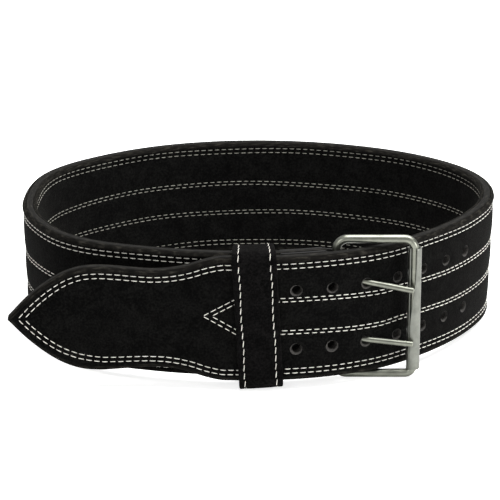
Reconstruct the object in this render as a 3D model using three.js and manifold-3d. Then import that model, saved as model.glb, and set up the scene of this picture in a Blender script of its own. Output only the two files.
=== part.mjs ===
import * as THREE from 'three';
import { mergeVertices } from 'three/addons/utils/BufferGeometryUtils.js';
import Module from 'manifold-3d';

// A wide lifting belt with a two-prong roller buckle, buckled up as when it is worn.
// Millimetres, +Z up. The strap runs from its pointed tip through the keeper and the buckle,
// once round the waist, and back behind its own tip end to the hinge bar of the buckle.

// Strap: a leather core between a suede face and a suede lining
const strapWidth = 100;
const facePly = 2.5;
const corePly = 5;
const liningPly = 2.5;
const plyGap = 0.3;
const plyInset = 0.3;
const edgeRadius = 2.2;
const layerGap = 0.4;
const tipShoulder = 3.2;
const facetLength = 14;
const tongueSteps = 32;

// The oval that the strap follows, at the middle of its thickness
const ovalHalfWidth = 189.5;
const ovalHalfDepth = 149.5;
const bearingStep = 0.5;
const routeBeyond = 6;
const ovalSwells = [
  { bearing: 0, swell: -0.026 },
  { bearing: 20, swell: 0.006 },
  { bearing: 40, swell: 0.012 },
  { bearing: 60, swell: 0.012 },
  { bearing: 80, swell: 0.017 },
  { bearing: 100, swell: 0.02 },
  { bearing: 120, swell: 0.014 },
  { bearing: 140, swell: -0.002 },
  { bearing: 160, swell: -0.004 },
  { bearing: 180, swell: -0.024 },
  { bearing: 200, swell: 0.028 },
  { bearing: 220, swell: 0.086 },
  { bearing: 240, swell: 0.052 },
  { bearing: 260, swell: 0.028 },
  { bearing: 280, swell: 0.012 },
  { bearing: 300, swell: -0.022 },
  { bearing: 320, swell: -0.06 },
  { bearing: 340, swell: -0.055 },
];

// The strap leans outwards at both sides of the waist, by this much over its width
const sideLean = 3;

// Where the outer turn starts to climb over the buckle end, and where it lies on top of it
const climbBearing = -12;
const overlapBearing = -61;
const hingeBearing = -67.5;
const releaseBearing = -97.5;

// Tip end: its run past the keeper, which springs outwards, and its half widths as shares of the strap's
const tongueRun = 173;
const tongueSpring = 4;
const taperLength = 165;
const tipBlunt = 1;
const taperHalfWidths = [
  0, 0.3, 0.535, 0.71, 0.81, 0.838, 0.826, 0.802, 0.784, 0.8, 0.855, 0.945, 1,
];

// Two rows of round holes, the third column taken by the prongs
const holeColumns = 7;
const prongColumn = 2;
const holePitch = 27.8;
const holeRowSpacing = 47;
const holeDiameter = 8.3;
const holeSides = 14;

// Keeper: a leather band round both turns, leaning a little
const keeperWidth = 33;
const keeperSetback = 1.5;
const keeperWall = 3;
const keeperClearance = 0.3;
const keeperHeadroom = 1.2;
const keeperCornerRadius = 7;
const keeperLean = 3;
const keeperEdge = 0.6;
const keeperSteps = 3;

// Buckle frame: one bent wire whose near side is the hinge bar and whose far side carries the roller
const wireDiameter = 6.6;
const frameReach = 60.3;
const frameCornerRadius = 8.6;
const frameSeat = 0.4;
const frameHeadroom = 2.8;
const wireSides = 12;
const bendSteps = 5;

const rollerBore = 7.6;
const rollerDiameter = 10.4;
const rollerOverhang = 3.9;
const rollerDrop = 2.2;
const rollerChamfer = 0.5;
const rollerSides = 24;

// Prongs: round wire, flattened into an eye round the hinge bar, and ending just short of the roller's middle
const prongDiameter = 4.6;
const prongEyeWall = 2.4;
const prongEyeHeight = 5.2;
const prongNeck = 14;
const prongShort = 2.8;
const prongClearance = 0.35;
const hingeClearance = 0.3;
const eyeChamfer = 0.4;
const eyeSides = 18;
const prongs = [
  { name: 'prong_upper', row: 1, droop: 10.5 },
  { name: 'prong_lower', row: -1, droop: 5.5 },
];

// Hinge tab: a folded leather strip that wraps the hinge bar and grips the core between its legs
const tabWall = 2.4;
const tabInset = 7;
const tabLeg = 45;
const coreSetback = 9;
const slotClearance = 0.6;
const legSteps = 5;
const foldSteps = 10;

const colours = { suede: '#141412', edge: '#2c2b29', tab: '#1b1a18', nickel: '#c9ccc6' };

const thickness = facePly + corePly + liningPly + 2 * plyGap;
const layerPitch = thickness + layerGap;
const midHeight = strapWidth / 2;
const tabHeight = strapWidth - 2 * tabInset;
const frameInnerHeight = strapWidth + frameSeat + frameHeadroom;
const rollerLength = frameInnerHeight + wireDiameter - 2 * frameCornerRadius + rollerOverhang;

const wasm = await Module();
wasm.setup();

function smooth(share) {
  const t = THREE.MathUtils.clamp(share, 0, 1);
  return t * t * (3 - 2 * t);
}

// Value between evenly spaced rows, on a smooth curve through them
function rowValue(valueAt, position) {
  const row = Math.floor(position);
  const t = position - row;
  const [before, here, next, after] = [-1, 0, 1, 2].map((k) => valueAt(row + k));
  const bend = 2 * before - 5 * here + 4 * next - after;
  const twist = 3 * here - before - 3 * next + after;
  return 0.5 * (2 * here + (next - before) * t + bend * t * t + twist * t * t * t);
}

function ovalPoint(bearing) {
  const angle = THREE.MathUtils.degToRad(bearing);
  const rows = ovalSwells.length;
  const swellAt = (row) => ovalSwells[THREE.MathUtils.euclideanModulo(row, rows)].swell;
  const swell = rowValue(swellAt, (bearing / 360) * rows);
  const across = Math.cos(angle) / ovalHalfWidth;
  const deep = Math.sin(angle) / ovalHalfDepth;
  const radius = (1 + swell) / Math.hypot(across, deep);
  return new THREE.Vector2(radius * Math.cos(angle), radius * Math.sin(angle));
}

// Middle of the strap at a bearing that counts on past one turn
function routePoint(bearing) {
  const tangent = ovalPoint(bearing + bearingStep).sub(ovalPoint(bearing - bearingStep)).normalize();
  const outward = new THREE.Vector2(tangent.y, -tangent.x);
  const climb = smooth((climbBearing - bearing) / (climbBearing - overlapBearing));
  return ovalPoint(bearing).addScaledVector(outward, climb * layerPitch);
}

// The strap's middle line, with the distance of each point from the tip
function strapRoute() {
  const release = routePoint(releaseBearing);
  const heading = routePoint(releaseBearing + bearingStep).sub(release).normalize();
  const outward = new THREE.Vector2(heading.y, -heading.x);
  const points = [];
  for (let share = 1; share > 0; share -= 1 / tongueSteps) {
    const point = release.clone().addScaledVector(heading, -tongueRun * share);
    points.push(point.addScaledVector(outward, tongueSpring * share * share));
  }
  const lastBearing = hingeBearing + 360 + routeBeyond;
  for (let bearing = releaseBearing; bearing <= lastBearing; bearing += bearingStep) {
    points.push(routePoint(bearing));
  }
  const distances = [0];
  for (let i = 1; i < points.length; i += 1) {
    distances.push(distances[i - 1] + points[i].distanceTo(points[i - 1]));
  }
  const turns = (bearing) => {
    return distances[tongueSteps + Math.round((bearing - releaseBearing) / bearingStep)];
  };
  return { points, distances, turns };
}

const route = strapRoute();
const hingeAt = route.turns(hingeBearing + 360);
const overlapAt = route.turns(hingeBearing);

// Place on the middle line, with its direction and its outward side
function along(distance) {
  const { points, distances } = route;
  let i = distances.findIndex((value) => value > distance);
  i = i < 1 ? (distance <= 0 ? 1 : points.length - 1) : i;
  const heading = (k) => points[k].clone().sub(points[k - 1]).normalize();
  const share = (distance - distances[i - 1]) / (distances[i] - distances[i - 1]);
  const point = points[i - 1].clone().lerp(points[i], share);
  const turned = heading(i);
  if (i > 1 && i < points.length - 1) {
    const before = heading(i - 1).add(heading(i));
    const after = heading(i).add(heading(i + 1));
    turned.copy(before.lerp(after, THREE.MathUtils.clamp(share, 0, 1))).normalize();
  }
  return { point, heading: turned, outward: new THREE.Vector2(turned.y, -turned.x) };
}

// Flat strap coordinates (distance from the tip, depth inwards, height) to their place on the oval
function place(distance, depth, height) {
  const { point, outward } = along(distance);
  const lean = sideLean * outward.x ** 4 * (height / strapWidth - 0.5);
  const inwards = depth - lean;
  return new THREE.Vector3(point.x - outward.x * inwards, point.y - outward.y * inwards, height);
}

function wrap(geometry) {
  const position = geometry.getAttribute('position');
  for (let i = 0; i < position.count; i += 1) {
    const wrapped = place(position.getX(i), position.getY(i), position.getZ(i));
    position.setXYZ(i, wrapped.x, wrapped.y, wrapped.z);
  }
  return geometry;
}

// Closed body through rings of points, capped at both ends or joined to itself
function loft(rings, closed = false) {
  const around = rings[0].length;
  const corners = rings.flat();
  const index = [];
  const spans = closed ? rings.length : rings.length - 1;
  for (let ring = 0; ring < spans; ring += 1) {
    for (let k = 0; k < around; k += 1) {
      const a = ring * around + k;
      const b = ring * around + ((k + 1) % around);
      const c = ((ring + 1) % rings.length) * around + ((k + 1) % around);
      const d = ((ring + 1) % rings.length) * around + k;
      index.push(a, b, c, a, c, d);
    }
  }
  if (!closed) {
    const last = (rings.length - 1) * around;
    for (let k = 1; k < around - 1; k += 1) {
      index.push(0, k + 1, k);
      index.push(last, last + k, last + k + 1);
    }
  }
  return new THREE.BufferGeometry().setFromPoints(corners).setIndex(index);
}

function solid(geometry) {
  const bare = geometry.clone();
  bare.deleteAttribute('normal');
  bare.deleteAttribute('uv');
  const merged = mergeVertices(bare, 1e-4);
  const vertProperties = merged.getAttribute('position').array;
  const triVerts = new Uint32Array(merged.index.array);
  return new wasm.Manifold(new wasm.Mesh({ numProp: 3, vertProperties, triVerts }));
}

function fromSolid(body) {
  const { vertProperties, triVerts } = body.getMesh();
  const geometry = new THREE.BufferGeometry();
  geometry.setAttribute('position', new THREE.BufferAttribute(vertProperties, 3));
  geometry.setIndex(new THREE.BufferAttribute(triVerts, 1));
  return geometry;
}

function cut(geometry, cutters) {
  return fromSolid(cutters.reduce((body, cutter) => body.subtract(solid(cutter)), solid(geometry)));
}

// Half the strap's width at a distance from the tip
function halfWidthAt(distance) {
  const rows = taperHalfWidths.length;
  const shareAt = (row) => (row < 0 ? -taperHalfWidths[-row] : taperHalfWidths[Math.min(row, rows - 1)]);
  const position = Math.min((distance / taperLength) * (rows - 1), rows - 1);
  return (strapWidth / 2) * rowValue(shareAt, position);
}

// Distances of the strap's sections: close together on the tapered tip, wider apart on the oval
function stations(end) {
  const tapered = 2 * (taperHalfWidths.length - 1);
  const list = [tipBlunt, tipShoulder];
  for (let k = 1; k <= tapered; k += 1) {
    list.push((taperLength * k) / tapered);
  }
  for (let distance = taperLength + facetLength; distance < end - facetLength / 2; distance += facetLength) {
    list.push(distance);
  }
  list.push(end);
  return list;
}

// One ply between two depths, its outer or inner edges rounded
function ply(outerDepth, innerDepth, inset, rounding, end) {
  const rings = stations(end).map((distance) => {
    const half = halfWidthAt(distance) - inset;
    const radius = Math.min(edgeRadius, half * 0.4);
    const section = [];
    const corner = (depth, side, round, clockwise) => {
      const away = depth === outerDepth ? 1 : -1;
      const steps = round ? [0, 1, 2] : [1];
      const turn = clockwise ? steps : [...steps].reverse();
      for (const step of turn) {
        const angle = (step * Math.PI) / 4;
        const inward = round ? radius * (1 - Math.sin(angle)) : 0;
        const down = round ? radius * (1 - Math.cos(angle)) : 0;
        section.push(place(distance, depth + away * inward, midHeight + side * (half - down)));
      }
    };
    corner(innerDepth, -1, rounding === 'inner', true);
    corner(innerDepth, 1, rounding === 'inner', false);
    corner(outerDepth, 1, rounding === 'outer', true);
    corner(outerDepth, -1, rounding === 'outer', false);
    return section;
  });
  return loft(rings);
}

// Buckle: the hinge bar lies in line with the strap's end, sunk so that the tab clears the outer turn
const wireRadius = wireDiameter / 2;
const bulbRadius = wireRadius + hingeClearance + tabWall;
const tabDepth = corePly / 2 + plyGap + tabWall;
const hingeBar = place(hingeAt, bulbRadius - tabDepth, midHeight);
const rollerBar = hingeBar.clone().add(new THREE.Vector3(frameReach, 0, 0));
const frameBottom = -frameSeat - wireDiameter;
const standDrop = -frameBottom;

function wireFrame() {
  const low = -frameSeat - wireRadius;
  const high = low + frameInnerHeight + wireDiameter;
  const r = frameCornerRadius;
  const corners = [
    { x: r, z: low + r, from: 180 },
    { x: frameReach - r, z: low + r, from: 270 },
    { x: frameReach - r, z: high - r, from: 0 },
    { x: r, z: high - r, from: 90 },
  ];
  const rings = [];
  for (const corner of corners) {
    for (let step = 0; step <= bendSteps; step += 1) {
      const angle = THREE.MathUtils.degToRad(corner.from + (90 * step) / bendSteps);
      const outward = new THREE.Vector3(Math.cos(angle), 0, Math.sin(angle));
      const centre = new THREE.Vector3(corner.x, 0, corner.z).addScaledVector(outward, r);
      centre.add(new THREE.Vector3(hingeBar.x, hingeBar.y, 0));
      rings.push(circle(centre, outward, new THREE.Vector3(0, 1, 0), wireRadius, wireRadius));
    }
  }
  return loft(rings, true);
}

function circle(centre, sideways, upward, wide, tall) {
  return Array.from({ length: wireSides }, (_, k) => {
    const angle = (2 * Math.PI * (k + 0.5)) / wireSides;
    return centre
      .clone()
      .addScaledVector(sideways, wide * Math.cos(angle))
      .addScaledVector(upward, tall * Math.sin(angle));
  });
}

function tube(outerRadius, innerRadius, length, chamfer, sides) {
  const half = length / 2;
  const profile = [
    [innerRadius, -half],
    [outerRadius - chamfer, -half],
    [outerRadius, -half + chamfer],
    [outerRadius, half - chamfer],
    [outerRadius - chamfer, half],
    [innerRadius, half],
    [innerRadius, -half],
  ];
  const lathe = new THREE.LatheGeometry(profile.map(([r, y]) => new THREE.Vector2(r, y)), sides);
  return lathe.rotateX(Math.PI / 2);
}

function roller() {
  const floor = -frameSeat + frameCornerRadius - wireRadius - rollerDrop;
  const barrel = tube(rollerDiameter / 2, rollerBore / 2, rollerLength, rollerChamfer, rollerSides);
  return barrel.translate(rollerBar.x, rollerBar.y, floor + rollerLength / 2);
}

// A prong leaves its eye on the outer side and comes to rest across the roller's outer side
function prongLine(prong) {
  const start = hingeBar.clone().setY(hingeBar.y - wireRadius - hingeClearance - prongEyeWall / 2);
  const seat = rollerDiameter / 2 + prongClearance + prongDiameter / 2;
  const end = rollerBar.clone().setY(rollerBar.y - seat);
  const fall = Math.tan(THREE.MathUtils.degToRad(prong.droop));
  const holeX = hingeBar.x + prongThrough;
  start.z = midHeight + (prong.row * holeRowSpacing) / 2 + fall * (holeX - start.x);
  end.z = start.z - fall * (end.x - start.x);
  return { start, end };
}

// Where the prongs pass between core and face, which is where their holes are
function findProngThrough() {
  const depth = wireRadius + hingeClearance + prongEyeWall / 2;
  const seat = rollerDiameter / 2 + prongClearance + prongDiameter / 2;
  let nearest = { miss: Infinity, x: 0, distance: 0 };
  for (let distance = overlapAt; distance < overlapAt + frameReach; distance += 0.25) {
    const face = place(distance, -corePly / 2, 0);
    const x = face.x - hingeBar.x;
    const y = hingeBar.y - depth - ((seat - depth) * x) / frameReach;
    const miss = Math.abs(face.y - y);
    nearest = miss < nearest.miss ? { miss, x, distance } : nearest;
  }
  return nearest;
}

const through = findProngThrough();
const prongThrough = through.x;
const prongHoleAt = through.distance;

function prongRod(prong, clearance) {
  const { start, end } = prongLine(prong);
  const axis = end.clone().sub(start).normalize();
  const sideways = new THREE.Vector3(0, 0, 1).cross(axis).normalize();
  const upward = axis.clone().cross(sideways).normalize();
  const reach = end.distanceTo(start) - prongShort;
  const thin = prongEyeWall / 2;
  const full = prongDiameter / 2;
  const sections = [
    { at: 0, wide: thin, tall: full },
    { at: prongNeck / 2, wide: (thin + full) / 2, tall: full },
    { at: prongNeck, wide: full, tall: full },
    { at: reach, wide: full * 0.96, tall: full * 0.96 },
    { at: reach + full * 0.7, wide: full * 0.7, tall: full * 0.7 },
    { at: reach + full, wide: full * 0.3, tall: full * 0.3 },
  ];
  const rings = sections.map(({ at, wide, tall }) => {
    const centre = start.clone().addScaledVector(axis, at);
    return circle(centre, sideways, upward, wide + clearance, tall + clearance);
  });
  return loft(rings);
}

function prong(spec) {
  const { start } = prongLine(spec);
  const inner = wireRadius + hingeClearance;
  const eye = tube(inner + prongEyeWall, inner, prongEyeHeight, eyeChamfer, eyeSides);
  eye.translate(hingeBar.x, hingeBar.y, start.z);
  const bar = new THREE.CylinderGeometry(inner, inner, 4 * prongEyeHeight, eyeSides).rotateX(Math.PI / 2);
  bar.translate(hingeBar.x, hingeBar.y, start.z);
  return fromSolid(solid(eye).add(solid(prongRod(spec, 0))).subtract(solid(bar)));
}

// Round holes through all plies, and the way of each prong through the strap
function strapCutters() {
  const cutters = [];
  for (let column = 0; column < holeColumns; column += 1) {
    const distance = prongHoleAt + (column - prongColumn) * holePitch;
    const { outward } = along(distance);
    for (const row of [-1, 1]) {
      const radius = holeDiameter / 2;
      const punch = new THREE.CylinderGeometry(radius, radius, 1.6 * thickness, holeSides);
      punch.rotateZ(Math.PI / 2).rotateZ(Math.atan2(outward.y, outward.x));
      const middle = place(distance, 0, midHeight + (row * holeRowSpacing) / 2);
      cutters.push(punch.translate(middle.x, middle.y, middle.z));
    }
  }
  for (const spec of prongs) {
    cutters.push(prongRod(spec, prongClearance));
  }
  return cutters;
}

function keeper() {
  const clear = keeperClearance + keeperWall;
  const outerDepth = -thickness / 2 - clear;
  const innerDepth = layerPitch + thickness / 2 + clear;
  const top = strapWidth + keeperHeadroom + keeperWall;
  const outline = (inset, target) => {
    const [left, right] = [outerDepth + inset, innerDepth - inset];
    const [low, high] = [-standDrop + inset, top - inset];
    const r = keeperCornerRadius - inset;
    target.moveTo(left + r, low);
    target.absarc(right - r, low + r, r, -Math.PI / 2, 0);
    target.absarc(right - r, high - r, r, 0, Math.PI / 2);
    target.absarc(left + r, high - r, r, Math.PI / 2, Math.PI);
    target.absarc(left + r, low + r, r, Math.PI, 1.5 * Math.PI);
    return target;
  };
  const shape = outline(keeperEdge, new THREE.Shape());
  shape.holes.push(outline(keeperWall - keeperEdge, new THREE.Path()));
  const band = new THREE.ExtrudeGeometry(shape, {
    depth: keeperWidth - 2 * keeperEdge,
    steps: keeperSteps,
    curveSegments: bendSteps,
    bevelSize: keeperEdge,
    bevelThickness: keeperEdge,
    bevelSegments: 1,
  });
  band.translate(0, -midHeight, keeperEdge - keeperWidth / 2);
  band.applyMatrix4(new THREE.Matrix4().makeBasis(
    new THREE.Vector3(0, 1, 0),
    new THREE.Vector3(0, 0, 1),
    new THREE.Vector3(1, 0, 0),
  ));
  band.rotateY(-THREE.MathUtils.degToRad(keeperLean));
  band.computeBoundingBox();
  band.translate(tongueRun + keeperSetback + keeperWidth / 2, 0, -standDrop - band.boundingBox.min.z);
  return wrap(band);
}

// The tab in plan: out along one leg, round the hinge bar and back along the other
function hingeTab() {
  const sink = bulbRadius - tabDepth;
  const profile = (inset) => {
    const reach = tabDepth - inset;
    const radius = bulbRadius - inset;
    const points = [];
    for (let k = 0; k < legSteps; k += 1) {
      points.push([-tabLeg + (k * (tabLeg - bulbRadius)) / legSteps, -reach]);
    }
    for (let k = 0; k <= foldSteps; k += 1) {
      const angle = -Math.PI / 2 + (k * Math.PI) / foldSteps;
      points.push([radius * Math.cos(angle), sink + radius * Math.sin(angle)]);
    }
    for (let k = legSteps - 1; k >= 0; k -= 1) {
      points.push([-tabLeg + (k * (tabLeg - bulbRadius)) / legSteps, reach]);
    }
    return points;
  };
  const outline = [...profile(0), ...profile(tabWall).reverse()];
  const plan = outline.map(([distance, depth]) => {
    const at = place(hingeAt + distance, depth, midHeight);
    return new THREE.Vector2(at.x, at.y);
  });
  const strip = new THREE.ExtrudeGeometry(new THREE.Shape(plan), {
    depth: tabHeight,
    bevelEnabled: false,
  });
  strip.translate(0, 0, midHeight - tabHeight / 2);
  const slots = prongs.map((spec) => {
    const { start } = prongLine(spec);
    const slotHeight = prongEyeHeight + 2 * slotClearance;
    const slot = new THREE.BoxGeometry(2 * coreSetback, 6 * bulbRadius, slotHeight);
    const { heading } = along(hingeAt);
    return slot.rotateZ(Math.atan2(heading.y, heading.x)).translate(hingeBar.x, hingeBar.y, start.z);
  });
  return cut(strip, slots);
}

const keeperFootDepth = keeperCornerRadius - keeperWall - keeperClearance - thickness / 2;
const belt = new THREE.Group();

function add(name, geometry, color, roughness, metalness) {
  const material = new THREE.MeshStandardMaterial({ color, roughness, metalness });
  const mesh = new THREE.Mesh(geometry, material);
  mesh.name = name;
  belt.add(mesh);
}

const faceDepth = -thickness / 2;
const liningDepth = thickness / 2;
const plyEnd = hingeAt - tabLeg - plyGap;
const coreEnd = hingeAt - coreSetback;
const cutters = strapCutters();
const facing = ply(faceDepth, faceDepth + facePly, plyInset, 'outer', plyEnd);
const core = ply(-corePly / 2, corePly / 2, 0, 'none', coreEnd);
const lining = ply(liningDepth - liningPly, liningDepth, plyInset, 'inner', plyEnd);
add('strap_face', cut(facing, cutters), colours.suede, 0.95, 0);
add('strap_core', cut(core, cutters), colours.edge, 0.7, 0);
add('strap_lining', cut(lining, cutters), colours.suede, 0.95, 0);
add('keeper', keeper(), colours.suede, 0.9, 0);
add('hinge_tab', hingeTab(), colours.tab, 0.8, 0);
add('buckle_frame', wireFrame(), colours.nickel, 0.25, 1);
add('roller', roller(), colours.nickel, 0.22, 1);
for (const spec of prongs) {
  add(spec.name, prong(spec), colours.nickel, 0.25, 1);
}

// The belt stands on the frame, on a corner of the keeper and on the lower edge of its back
function standingTurn() {
  const keeperFoot = place(tongueRun + keeperSetback, keeperFootDepth, 0);
  const frameFoot = rollerBar.clone().setZ(0);
  const axis = keeperFoot.sub(frameFoot).setZ(0).normalize();
  const back = new THREE.Vector3(axis.y, -axis.x, 0);
  let farthest = 0;
  for (let distance = route.turns(90); distance < route.turns(180); distance += 1) {
    farthest = Math.max(farthest, place(distance, -corePly / 2, 0).sub(frameFoot).dot(back));
  }
  return new THREE.Quaternion().setFromAxisAngle(axis, Math.atan2(standDrop, farthest));
}

belt.quaternion.copy(standingTurn());
belt.updateMatrixWorld(true);
const extent = new THREE.Box3().setFromObject(belt, true);
const middle = extent.getCenter(new THREE.Vector3());
belt.position.set(-middle.x, -middle.y, -extent.min.z);

const part = new THREE.Group();
part.add(belt);

export default part;
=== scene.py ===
import math

import bpy
import numpy as np
from mathutils import Matrix, Quaternion, Vector
from mathutils.kdtree import KDTree


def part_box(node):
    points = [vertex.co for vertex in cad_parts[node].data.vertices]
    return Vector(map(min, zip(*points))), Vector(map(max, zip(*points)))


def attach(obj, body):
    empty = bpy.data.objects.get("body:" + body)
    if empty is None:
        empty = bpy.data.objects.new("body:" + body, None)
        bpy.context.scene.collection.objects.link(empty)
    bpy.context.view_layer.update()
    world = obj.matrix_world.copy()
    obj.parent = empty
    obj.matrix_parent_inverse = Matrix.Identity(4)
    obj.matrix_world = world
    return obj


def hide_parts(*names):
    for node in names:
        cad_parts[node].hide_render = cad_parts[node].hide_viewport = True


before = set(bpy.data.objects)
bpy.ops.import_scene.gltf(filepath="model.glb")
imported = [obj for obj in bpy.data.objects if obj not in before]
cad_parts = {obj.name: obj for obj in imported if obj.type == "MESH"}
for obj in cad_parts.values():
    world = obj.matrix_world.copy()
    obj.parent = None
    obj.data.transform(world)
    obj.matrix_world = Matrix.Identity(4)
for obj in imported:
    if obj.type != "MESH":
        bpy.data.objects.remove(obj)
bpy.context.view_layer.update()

print("frame loaded")

# All lengths are metres. The belt is first built level, then turned the little that it stands at.

strap = {
    "width": 0.100,
    "facePly": 0.0025,
    "corePly": 0.005,
    "liningPly": 0.0025,
    "plyGap": 0.0003,
    "layerGap": 0.0004,
    "sideLean": 0.003,      # how far the top leans out at both sides of the waist
}

# The oval as it was worn: an ellipse with a swell every 20 degrees, then the climb over the buckle end
path = {
    "halfWidth": 0.1895,
    "halfDepth": 0.1495,
    "swells": [-0.026, 0.006, 0.012, 0.012, 0.017, 0.02, 0.014, -0.002, -0.004,
               -0.024, 0.028, 0.086, 0.052, 0.028, 0.012, -0.022, -0.06, -0.055],
    "climb": -12,
    "overlap": -61,
    "hinge": -67.5,
    "release": -97.5,
    "step": 0.5,
    "beyond": 6,
    "tongueRun": 0.173,
    "tongueSpring": 0.004,
    "tongueSteps": 32,
}

# Tip end: half widths as shares of the strap's, evenly spaced
taper = {
    "length": 0.165,
    "blunt": 0.0006,
    "shares": [0, 0.3, 0.535, 0.71, 0.81, 0.838, 0.826, 0.802, 0.784, 0.8, 0.855, 0.945, 1],
}

holes = {
    "columns": 7,
    "prongColumn": 2,
    "pitch": 0.0278,
    "rowSpacing": 0.047,
    "diameter": 0.0077,
    "lip": 0.0003,
    "sink": 0.0009,         # depth of the lip below the face
    "worn": 0.0006,         # the prongs wear each lip towards the tip and downwards
    "tuck": 1.4,            # how far inside the hole the lip starts, in shares of that wear
    "punchLength": 0.03,
    "sides": 44,
}

buckle = {
    "wire": 0.0066,
    "wireSides": 28,
    "bendSteps": 10,
    "reach": 0.0603,
    "corner": 0.0086,
    "lowCorner": 0.0062,     # tighter bend under the roller
    "seat": 0.0004,
    "headroom": 0.0028,
    "rollerBore": 0.0076,
    "rollerDiameter": 0.0104,
    "rollerOverhang": 0.0039,
    "rollerDrop": 0.0022,
    "prong": 0.0046,
    "prongEyeWall": 0.0024,
    "prongEyeHeight": 0.0052,
    "prongNeck": 0.014,
    "prongShort": 0.0028,
    "prongClearance": 0.00035,
    "hingeClearance": 0.0003,
    "rollerEdge": 0.0004,
}

keeper = {
    "width": 0.033,
    "setback": 0.0015,
    "wall": 0.003,
    "clearance": 0.0003,
    "headroom": 0.0012,
    "corner": 0.007,
    "cornerSteps": 9,
    "lean": 3,
    "edge": 0.0006,
    "rounding": 0.0011,
    "rowInset": 0.0047,
    "pitch": 0.0066,
    "slant": 8,
    "stitch": 0.0054,
    "thread": 0.0006,
    "wander": 0.0003,
    "sunk": 0.0002,
    "dip": 0.0004,          # the leather under a row is drawn in by this much
    "dipWidth": 0.0011,
    "rim": 0.0016,
    # Columns of the mesh, by their distance inwards from the stitch row
    "columns": [-0.0022, -0.0015, -0.0008, 0, 0.0008, 0.0015, 0.0022, 0.004, 0.007, 0.01],
}

tab = {
    "wall": 0.0024,
    "legInset": 0.0005,
    "foldInset": 0.0035,    # cut narrower where it goes round the bar, between the frame's corners
    "narrowFrom": 0.012,
    "narrowOver": 0.007,
    "leg": 0.045,
    "coreSetback": 0.009,
    "slotClearance": 0.0006,
    "edge": 0.0005,
    "steps": 24,
    "columns": 13,
    "rows": [0.004, 0.008],     # two rows across the end of the legs
    "sideInset": 0.008,         # and one along each side, over this part of the legs
    "sideFrom": 0.009,
    "sideTo": 0.014,
}

thickness = strap["facePly"] + strap["corePly"] + strap["liningPly"] + 2 * strap["plyGap"]
layerPitch = thickness + strap["layerGap"]
midHeight = strap["width"] / 2
wireRadius = buckle["wire"] / 2
innerHeight = strap["width"] + buckle["seat"] + buckle["headroom"]
standDrop = buckle["seat"] + buckle["wire"]


def smoothShare(share):
    share = np.clip(share, 0, 1)
    return share * share * (3 - 2 * share)


def rowCurve(valueAt, position):
    row = np.floor(position).astype(int)
    t = position - row
    before, here, after, last = (valueAt(row + k) for k in (-1, 0, 1, 2))
    bend = 2 * before - 5 * here + 4 * after - last
    twist = 3 * here - before - 3 * after + last
    return 0.5 * (2 * here + (after - before) * t + bend * t * t + twist * t * t * t)


def ovalPoint(bearing):
    swells = np.array(path["swells"])
    angle = np.radians(bearing)
    swell = rowCurve(lambda row: swells[row % len(swells)], np.asarray(bearing) / 360 * len(swells))
    radius = (1 + swell) / np.hypot(np.cos(angle) / path["halfWidth"], np.sin(angle) / path["halfDepth"])
    return np.stack([radius * np.cos(angle), radius * np.sin(angle)], -1)


def routePoint(bearing):
    bearing = np.asarray(bearing, float)
    tangent = ovalPoint(bearing + path["step"]) - ovalPoint(bearing - path["step"])
    tangent /= np.linalg.norm(tangent, axis=-1, keepdims=True)
    outward = np.stack([tangent[..., 1], -tangent[..., 0]], -1)
    climb = smoothShare((path["climb"] - bearing) / (path["climb"] - path["overlap"]))
    return ovalPoint(bearing) + outward * climb[..., None] * layerPitch


def strapRoute():
    release = routePoint(path["release"])
    heading = routePoint(path["release"] + path["step"]) - release
    heading /= np.linalg.norm(heading)
    outward = np.array([heading[1], -heading[0]])
    share = 1 - np.arange(path["tongueSteps"])[:, None] / path["tongueSteps"]
    tongue = release - heading * path["tongueRun"] * share + outward * path["tongueSpring"] * share ** 2
    bearings = np.arange(path["release"], path["hinge"] + 360 + path["beyond"] + 0.01, path["step"])
    points = np.vstack([tongue, routePoint(bearings)])
    steps = np.diff(points, axis=0)
    lengths = np.linalg.norm(steps, axis=1)
    heading = steps / lengths[:, None]
    corner = np.vstack([heading[:1], heading[:-1] + heading[1:], heading[-1:]])
    corner /= np.linalg.norm(corner, axis=1)[:, None]
    return points, np.concatenate([[0], np.cumsum(lengths)]), corner


routePoints, routeDistances, routeHeadings = strapRoute()


def distanceAt(bearing):
    return routeDistances[path["tongueSteps"] + round((bearing - path["release"]) / path["step"])]


hingeAt = distanceAt(path["hinge"] + 360)
overlapAt = distanceAt(path["hinge"])


# From flat strap coordinates (distance from the tip, height, outwards from the middle) to the oval
def wrapFlat(flat):
    distance, height, outwards = np.asarray(flat, float).reshape(-1, 3).T
    after = np.clip(np.searchsorted(routeDistances, distance, side="right"), 1, len(routeDistances) - 1)
    share = (distance - routeDistances[after - 1]) / (routeDistances[after] - routeDistances[after - 1])
    point = routePoints[after - 1] * (1 - share[:, None]) + routePoints[after] * share[:, None]
    turned = np.clip(share, 0, 1)[:, None]
    heading = routeHeadings[after - 1] * (1 - turned) + routeHeadings[after] * turned
    heading /= np.linalg.norm(heading, axis=1)[:, None]
    outward = np.stack([heading[:, 1], -heading[:, 0]], -1)
    lean = strap["sideLean"] * outward[:, 0] ** 4 * (height / strap["width"] - 0.5)
    return np.column_stack([point + outward * (outwards + lean)[:, None], height])


def halfWidthAt(distance):
    shares = np.array(taper["shares"])
    last = len(shares) - 1

    def shareAt(row):
        return np.where(row < 0, -shares[1], shares[np.clip(row, 0, last)])

    return midHeight * rowCurve(shareAt, np.minimum(np.asarray(distance) / taper["length"] * last, last))


bulbRadius = wireRadius + buckle["hingeClearance"] + tab["wall"]
tabDepth = strap["corePly"] / 2 + strap["plyGap"] + tab["wall"]
hingeBar = Vector(wrapFlat([hingeAt, midHeight, tabDepth - bulbRadius])[0])
rollerBar = hingeBar + Vector((buckle["reach"], 0, 0))
prongEyeReach = wireRadius + buckle["hingeClearance"] + buckle["prongEyeWall"] / 2
prongSeat = buckle["rollerDiameter"] / 2 + buckle["prongClearance"] + buckle["prong"] / 2


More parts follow.
